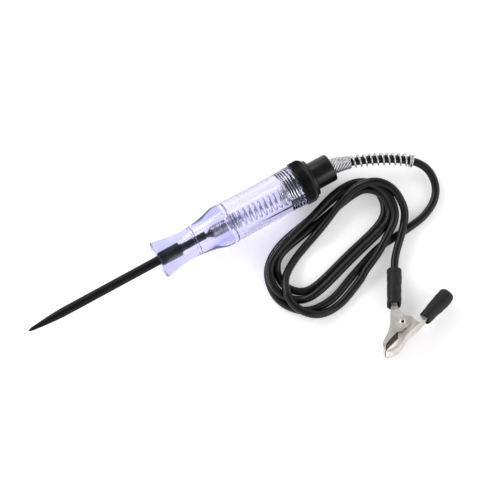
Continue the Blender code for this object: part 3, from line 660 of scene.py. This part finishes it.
def as_mesh(obj):
    """Turns a drawn wire into a mesh, in place of the curve."""
    graph = bpy.context.evaluated_depsgraph_get()
    made = place(obj.name + "_mesh", bpy.data.meshes.new_from_object(obj.evaluated_get(graph)))
    bpy.data.objects.remove(obj)
    return made


spring_line = [on_axis(SPRING_FOOT, LAMP_ASIDE), on_axis(SPRING_TOP, SPRING_TOP_ASIDE)]
closed_pitch = 2 * SPRING_WIRE + SPRING_CLOSED_GAP
open_pitch = (length_of(spring_line) - 2 * SPRING_CLOSED_TURNS * closed_pitch) / SPRING_OPEN_TURNS
spring_turns = SPRING_OPEN_TURNS + 2 * SPRING_CLOSED_TURNS


def spring_pitch(turn):
    is_open = SPRING_CLOSED_TURNS < turn < spring_turns - SPRING_CLOSED_TURNS
    return open_pitch if is_open else closed_pitch


spring_points = wound(spring_line, SPRING_RADIUS, spring_turns, spring_pitch, hand=-1)
lamp_spring = as_mesh(drawn_wire("lamp_spring_wire", spring_points, SPRING_WIRE, 3))
# Bright drawn wire with lengthwise die lines and a slightly greyed surface.
music_wire = worn_material("spring_drawn_music_wire", ("#b4b6bb", "#dcdee2"), (0.2, 0.36), 1.2, 0.2, 0.01,
                           metallic=1.0)
lamp_spring.data.materials.append(music_wire)
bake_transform(lamp_spring)
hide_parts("lamp_spring")


# Cap -------------------------------------------------------------------------------------------
# Black ABS moulding: a threaded plug that carries the brass contact, a ring of straight ribs to
# grip, a chamfer and a plain lip. The lead's crimped end sits inside it.

CAP_RIBS = 66
CAP_RIB_DEPTH = 0.6
CAP_RIB_START = 139.7
CAP_RIB_END = 145.6
CAP_THREAD = (133.3, 139.2)
CONTACT_PROFILE = [
    (132.2, 0.0), (132.2, 1.2), (132.05, 1.5), (132.05, 4.4), (132.2, 4.6), (132.6, 4.6), (132.6, 0.0),
]


def cap_radius(station, radius, turn):
    """Cuts the thread round the cap's plug and the ribs round its ring."""
    if CAP_THREAD[0] < station < CAP_THREAD[1] and 6.0 < radius < 7.0:
        return radius - THREAD_DEPTH * (1 - ridge(station, turn))
    if radius > 9.2 and CAP_RIB_START < station < CAP_RIB_END:
        fade = min(1.0, (station - CAP_RIB_START) / 0.25, (CAP_RIB_END - station) / 0.9)
        return radius - CAP_RIB_DEPTH * max(0.0, fade) * abs(math.sin(turn * CAP_RIBS / 2)) ** 1.4
    return radius


cap_profile = [(132.9, 1.2), (132.9, 6.2), (133.0, 6.45), (133.3, 6.75)]
cap_profile += [(133.35 + THREAD_RING_GAP * k, 6.9) for k in range(49)]
cap_profile += [(139.3, 6.6), (139.6, 6.7), (139.6, 9.9), (139.75, 10.25), (140.0, 10.4), (141.3, 10.4)]
cap_profile += [(142.6, 10.4), (143.9, 10.4), (144.2, 10.28), (144.8, 9.95), (145.4, 9.6), (145.7, 9.3)]
cap_profile += [(145.72, 8.75), (145.85, 8.6), (146.9, 8.6), (147.12, 8.52), (147.2, 8.3), (147.2, 4.5)]
cap_profile += [(147.0, 4.3), (137.2, 4.3), (137.2, 1.2)]
cap = turned("cap_moulding", cap_profile, CAP_RIBS * 6, radius_at=cap_radius)
# Black ABS, spark-textured in the mould and rubbed shiny on its high places by fingers.
cap_abs = worn_material("cap_moulded_black_abs", ("#09090b", "#131315"), (0.26, 0.44), 3.0, 0.3, 0.02,
                        ior=1.53, gloss=0.32)
dress(cap, cap_abs, "cap", "screw_cap")

contact = turned("cap_contact", rounded(CONTACT_PROFILE, 0.15), 64)
# Tinned brass: warm silver that goes straw-coloured where the tin is thin.
brass = worn_material("contact_tinned_brass", ("#b7ae9c", "#ded8cb"), (0.22, 0.4), 2.0, 0.25, 0.012,
                      metallic=1.0)
dress(contact, brass, "cap", "contact_disc")
# Bunched copper, a little tarnished: salmon drifting to brown.
copper = worn_material("core_bunched_copper", ("#9a5a3c", "#c98559"), (0.28, 0.45), 0.8, 0.15, 0.03,
                       metallic=1.0)
for name, metal in (("lead_ferrule", brass), ("lead_core", copper), ("lead_end_core", copper)):
    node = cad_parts[name]
    node.data.materials.clear()
    node.data.materials.append(metal)


# Collar ----------------------------------------------------------------------------------------
# Smooth black bush, pressed into the back of the cap to hold the wound guard of the lead.

COLLAR_PROFILE = [
    (142.5, 2.2), (142.5, 4.0), (147.5, 4.0), (147.5, 6.45), (147.7, 6.6), (156.7, 6.6), (157.3, 6.15),
    (157.3, 4.15), (153.2, 4.15), (153.2, 2.2),
]
collar = turned("cap_collar", rounded(COLLAR_PROFILE, 0.35), 96)
# Black ABS from a polished mould: smoother and a touch shinier than the cap, with long soft lights.
collar_abs = worn_material("collar_polished_black_abs", ("#080809", "#101012"), (0.2, 0.32), 4.0, 0.4, 0.01,
                           ior=1.53, gloss=0.34)
dress(collar, collar_abs, "cap", "end_collar")


# Lead guard ------------------------------------------------------------------------------------
# A tapering sleeve of nine steel strands laid side by side, then an open spring whose last
# turns are closed. Both are threaded over the lead and held in the collar.

GUARD_START = 15.2
SLEEVE_LENGTH = 13.0
SLEEVE_STRANDS = 9
SLEEVE_LEAD = -14.0
SLEEVE_RADIUS = 3.85
SLEEVE_TAPER = 0.95
SLEEVE_TAPER_START = 3.9
SLEEVE_END_ROUND = 0.4
SLEEVE_BORE = 2.3
SLEEVE_SIDES = 110
STRAND_DEPTH = 0.32
STEEL_PATCHES = 600.0  # to the metre, about 1.7 mm each
GUARD_WIRE = 0.42
GUARD_SPRING_RADIUS = 2.68
GUARD_PITCH = 2.65
GUARD_TURNS = 10
GUARD_GAP = 0.3
GUARD_CLOSED_GAP = 0.08
GUARD_STEPS = 90  # steps of the lead that are sure to hold the whole guard


def stretch_of(line, start, length, spacing):
    """The stretch of a line between two distances from its start, in even steps."""
    fine = even_points(line, 0.05)
    step = length_of(fine) / (len(fine) - 1)
    return even_points(fine[round(start / step):round((start + length) / step) + 1], spacing)


guard_line = lead_line[:GUARD_STEPS]
sleeve_rings, sleeve_bore, hollows = [], [], []
sleeve_line = stretch_of(guard_line, GUARD_START, SLEEVE_LENGTH, 0.14)
for k, (point, sideways, upward) in enumerate(frames_along(sleeve_line)):
    along = SLEEVE_LENGTH * k / (len(sleeve_line) - 1)
    taper = max(0.0, along - SLEEVE_TAPER_START) / (SLEEVE_LENGTH - SLEEVE_TAPER_START)
    outer = SLEEVE_RADIUS - SLEEVE_TAPER * taper
    outer -= 0.35 * max(0.0, 1 - (SLEEVE_LENGTH - along) / SLEEVE_END_ROUND) ** 2
    ring = []
    for n in range(SLEEVE_SIDES):
        turn = 2 * math.pi * n / SLEEVE_SIDES
        strand = abs(math.cos(math.pi * (SLEEVE_STRANDS * (turn / (2 * math.pi) - along / SLEEVE_LEAD))))
        spoke = math.cos(turn) * sideways + math.sin(turn) * upward
        ring.append(point + (outer - STRAND_DEPTH * (1 - strand ** 0.5)) * spoke)
        hollows.append(1 - strand)
    sleeve_rings.append(ring)
    sleeve_bore.append([point + SLEEVE_BORE * (p - point).normalized() for p in ring])
sleeve = shell_mesh("guard_sleeve", sleeve_rings + sleeve_bore[::-1], True)
depth = sleeve.data.attributes.new("hollow", "FLOAT", "POINT")
depth.data.foreach_set("value", hollows + [1.0] * (len(sleeve.data.vertices) - len(hollows)))

# Bright steel strands, with painted shade darkening the hollows between them.
strand_steel, tree = empty_material("guard_bright_steel_strands")
spot = add(tree, "TexCoord")
patches = add(tree, "TexNoise", {"Vector": spot.outputs["Object"], "Scale": STEEL_PATCHES, "Detail": 4.0})
hollow = add(tree, "Attribute", attribute_name="hollow")
# Painted shade: the deeper the hollow between strands, the more the steel colour is mixed towards dark grey.
painted_groove_shade = add(tree, "MapRange", {"Value": hollow.outputs["Fac"], "From Min": 0.35, "From Max": 0.95})
clean = add(tree, "ValToRGB", {"Fac": patches.outputs["Fac"]})
for element, place_at, colour in zip(clean.color_ramp.elements, (0.3, 0.7), ("#a9abae", "#d6d8da")):
    element.position = place_at
    element.color = linear(colour)
painted_shade_mix = add(tree, "Mix", {0: painted_groove_shade.outputs[0], 6: clean.outputs[0], 7: linear("#4a4b4f")}, data_type="RGBA")
sheen = add(tree, "MapRange", {"Value": patches.outputs["Fac"], "From Min": 0.3, "From Max": 0.7,
                               "To Min": 0.2, "To Max": 0.38})
shader = add(tree, "BsdfPrincipled", {"Base Color": painted_shade_mix.outputs[2], "Roughness": sheen.outputs[0],
                                      "Metallic": 1.0})
add(tree, "OutputMaterial", {"Surface": shader.outputs[0]})
dress(sleeve, strand_steel, "cap", "relief_sleeve")

guard_closed = 2 * GUARD_WIRE + GUARD_CLOSED_GAP
guard_length = GUARD_TURNS * GUARD_PITCH + 2 * guard_closed
spring_start = GUARD_START + SLEEVE_LENGTH + GUARD_GAP + GUARD_WIRE
guard_spring_line = stretch_of(guard_line, spring_start, guard_length + 0.5, 0.5)
guard_points = wound(guard_spring_line, GUARD_SPRING_RADIUS, GUARD_TURNS + 2,
                     lambda turn: GUARD_PITCH if turn < GUARD_TURNS else guard_closed)
guard_spring = drawn_wire("guard_spring", guard_points, GUARD_WIRE, 4)
# Bright-drawn steel wire: silver, with sharper lights than the sleeve and no painted shade on its round
# sides.
guard_wire = worn_material("guard_spring_bright_wire", ("#a4a6a9", "#d9dbdd"), (0.16, 0.32), 1.5, 0.2, 0.012,
                           metallic=1.0)
dress(guard_spring, guard_wire, "cap", "relief_spring")


# Clip ------------------------------------------------------------------------------------------
# Spring clip of nickel-plated pressed steel: two folded levers on a tubular rivet, with a torsion
# spring between their handles. The lead is soldered inside one of them.

CLIP_PIVOT = (70.3, -80.2, 7.2)
CLIP_TURN = math.radians(34.6)
CLIP_ROLL = math.radians(-5.5)
CLIP_DIP = math.radians(5.0)
CLIP_PLACE = (Matrix.Translation(Vector(CLIP_PIVOT)) @ Matrix.Rotation(CLIP_TURN, 4, "Z")
              @ Matrix.Rotation(CLIP_ROLL, 4, "X") @ Matrix.Rotation(CLIP_DIP, 4, "Y"))
RIVET_PROFILE = [
    (-5.45, 0.75), (-5.55, 0.95), (-5.5, 1.2), (-5.35, 1.42), (-5.22, 1.45), (-5.2, 1.2), (5.2, 1.2),
    (5.22, 1.45), (5.35, 1.42), (5.5, 1.2), (5.55, 0.95), (5.45, 0.75), (4.9, 0.5), (-4.9, 0.5),
]
RIVET_SIDES = 48
EDGE_ROLL = 0.14
TORSION_WIRE = 0.4
TORSION_RADIUS = 2.1
TORSION_WIDTH = 3.3
TORSION_STEPS = 88
TORSION_START = 128
TORSION_SWEEP = 1190
TORSION_LEAD_END = (10.8, 9.4, 1.1)
TORSION_THUMB_END = (10.5, -8.4, -1.1)
PLATE_CLOUDS = 220.0  # to the metre, about 4.5 mm each
PLATE_SCUFFS = 2600.0  # to the metre, about 0.4 mm each: coarser than real scuffs

# Nickel plate over pressed steel: warm silver with cloudy patches and fine scuffs, and a painted brown
# shade, from ambient occlusion, deep inside the folds and recesses.
nickel, tree = empty_material("clip_nickel_plated_steel")
spot = add(tree, "TexCoord")
patches = add(tree, "TexNoise", {"Vector": spot.outputs["Object"], "Scale": PLATE_CLOUDS, "Detail": 5.0,
                                 "Roughness": 0.6})
scuffs = add(tree, "TexNoise", {"Vector": spot.outputs["Object"], "Scale": PLATE_SCUFFS, "Detail": 3.0})
shade = add(tree, "ValToRGB", {"Fac": patches.outputs["Fac"]})
for element, place_at, colour in zip(shade.color_ramp.elements, (0.3, 0.7), ("#cbc4be", "#ece8e4")):
    element.position = place_at
    element.color = linear(colour)
# Painted shade: ambient occlusion mixes the plate colour towards dark brown in the folds and recesses.
inside = add(tree, "AmbientOcclusion", {"Distance": 4.5 * MM})
painted_recess_shade = add(tree, "MapRange", {"Value": inside.outputs["AO"], "From Min": 0.15, "From Max": 0.62,
                               "To Min": 0.9, "To Max": 0.0})
painted_shade_mix = add(tree, "Mix", {0: painted_recess_shade.outputs[0], 6: shade.outputs[0], 7: linear("#2e241d")}, data_type="RGBA")
sheen = add(tree, "MapRange", {"Value": patches.outputs["Fac"], "From Min": 0.3, "From Max": 0.7,
                               "To Min": 0.34, "To Max": 0.48})
relief = add(tree, "Bump", {"Strength": 0.3, "Distance": 0.00002, "Height": scuffs.outputs["Fac"]})
shader = add(tree, "BsdfPrincipled", {"Base Color": painted_shade_mix.outputs[2], "Roughness": sheen.outputs[0],
                                      "Metallic": 1.0, "Normal": relief.outputs[0]})
add(tree, "OutputMaterial", {"Surface": shader.outputs[0]})

for name in ("clip_lever_lead", "clip_lever_thumb"):
    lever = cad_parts[name]
    lever.data.materials.clear()
    lever.data.materials.append(nickel)
    edge = lever.modifiers.new("rolled_edges", "BEVEL")
    edge.width = EDGE_ROLL * MM
    edge.segments = 2
    edge.limit_method = "ANGLE"
    edge.angle_limit = math.radians(35)

torsion_points = [Vector(TORSION_LEAD_END)]
for k in range(TORSION_STEPS + 1):
    turn = math.radians(TORSION_START + TORSION_SWEEP * k / TORSION_STEPS)
    height = TORSION_WIDTH / 2 - TORSION_WIDTH * k / TORSION_STEPS
    torsion_points.append(Vector((TORSION_RADIUS * math.cos(turn), TORSION_RADIUS * math.sin(turn), height)))
torsion_points.append(Vector(TORSION_THUMB_END))
torsion_points = [CLIP_PLACE @ point for point in torsion_points]
torsion = as_mesh(drawn_wire("clip_torsion_spring", torsion_points, TORSION_WIRE, 3))
torsion.data.materials.append(music_wire)
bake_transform(torsion)
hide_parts("clip_spring")

rivet_turns = [2 * math.pi * k / RIVET_SIDES for k in range(RIVET_SIDES)]
rivet_rings = [
    [CLIP_PLACE @ Vector((radius * math.cos(turn), radius * math.sin(turn), height)) for turn in rivet_turns]
    for height, radius in RIVET_PROFILE
]
rivet = shell_mesh("clip_tubular_rivet", rivet_rings, True)
dress(rivet, nickel, "cap", "clip_rivet")


# Boots -----------------------------------------------------------------------------------------
# Soft black PVC sleeves pulled over the clip's handles, creased where they were stretched on;
# the lead runs in through one, and the thumb's one is closed.

LEAD_BOOT = ((7.2, 7.8), 25.1)
THUMB_BOOT = ((7.2, -7.5), -15.8)
LEAD_BOOT_SECTIONS = [
    (0.0, 2.45, 3.1), (-0.1, 3.0, 3.6), (0.15, 3.4, 3.9), (1.5, 3.5, 3.9), (3.5, 3.4, 3.85), (8.0, 3.35, 3.8),
    (12.5, 3.5, 3.75), (16.6, 3.45, 3.6), (17.4, 3.2, 3.4), (17.7, 2.6, 3.0), (17.6, 2.2, 2.3),
    (16.5, 2.1, 2.1), (14.2, 2.3, 2.6), (9.0, 2.35, 3.0),
]
THUMB_BOOT_SECTIONS = [
    (13.0, 2.2, 2.8), (6.0, 2.3, 3.0), (0.1, 2.3, 3.1), (-0.1, 2.7, 3.6), (0.2, 2.95, 3.9), (2.0, 3.1, 3.9),
    (6.0, 3.4, 3.9), (11.0, 3.85, 3.85), (14.2, 3.85, 3.6), (15.9, 3.4, 3.1), (16.7, 2.5, 2.3),
    (16.98, 1.3, 1.2), (17.0, 0.0, 0.0),
]
BOOT_SIDES = 56
BOOT_SQUARENESS = 0.85
CREASE_DEPTH = 0.26
WRINKLE_DEPTH = 0.07
BOOT_STRETCH = 0.14
MOUTH_SLANT = 0.55
MOUTH_TILT = 0.4


def boot(name, spec, sections, through):
    """A creased sleeve along one handle: sections are (distance, half sizes) from the mouth."""
    (mouth_x, mouth_y), degrees = spec
    axis = Vector((math.cos(math.radians(degrees)), math.sin(math.radians(degrees)), 0))
    across = Vector((-axis.y, axis.x, 0))
    rings = []
    for distance, a, b in smooth_line(sections, 5):
        if a <= 0.05:
            rings.append([CLIP_PLACE @ (Vector((mouth_x, mouth_y, 0)) + axis * distance)])
            continue
        ring = []
        for k in range(BOOT_SIDES):
            turn = 2 * math.pi * k / BOOT_SIDES
            c, s = math.cos(turn), math.sin(turn)
            side = across * a * math.copysign(abs(c) ** BOOT_SQUARENESS, c)
            side += Vector((0, 0, b * math.copysign(abs(s) ** BOOT_SQUARENESS, s)))
            slant = MOUTH_SLANT * s * max(0.0, 1 - abs(distance) / 3)
            slant -= MOUTH_TILT * c * max(0.0, 1 - abs(distance) / 2)
            spot = Vector((mouth_x, mouth_y, 0)) + axis * (distance + slant) + side
            crease = CREASE_DEPTH * noise.noise(Vector((distance * 0.45, 1.1 * c, 1.1 * s)) + across * 7)
            crease += WRINKLE_DEPTH * noise.noise(Vector((distance * 1.5, 2.2 * c, 2.2 * s)))
            ring.append(CLIP_PLACE @ (spot + side.normalized() * (crease - BOOT_STRETCH)))
        rings.append(ring)
    return shell_mesh(name, rings, through)


# Matt black PVC with a dusty bloom that catches grey on its upper side and fine moulding grain.
boot_pvc = worn_material("boot_matt_black_pvc", ("#0a0a0c", "#141417"), (0.5, 0.7), 2.5, 0.25, 0.04,
                         gloss=0.38)
dress(boot("lead_boot", LEAD_BOOT, LEAD_BOOT_SECTIONS, True), boot_pvc, "cap", "boot_lead")
dress(boot("thumb_boot", THUMB_BOOT, THUMB_BOOT_SECTIONS, False), boot_pvc, "thumb_lever", "boot_thumb")
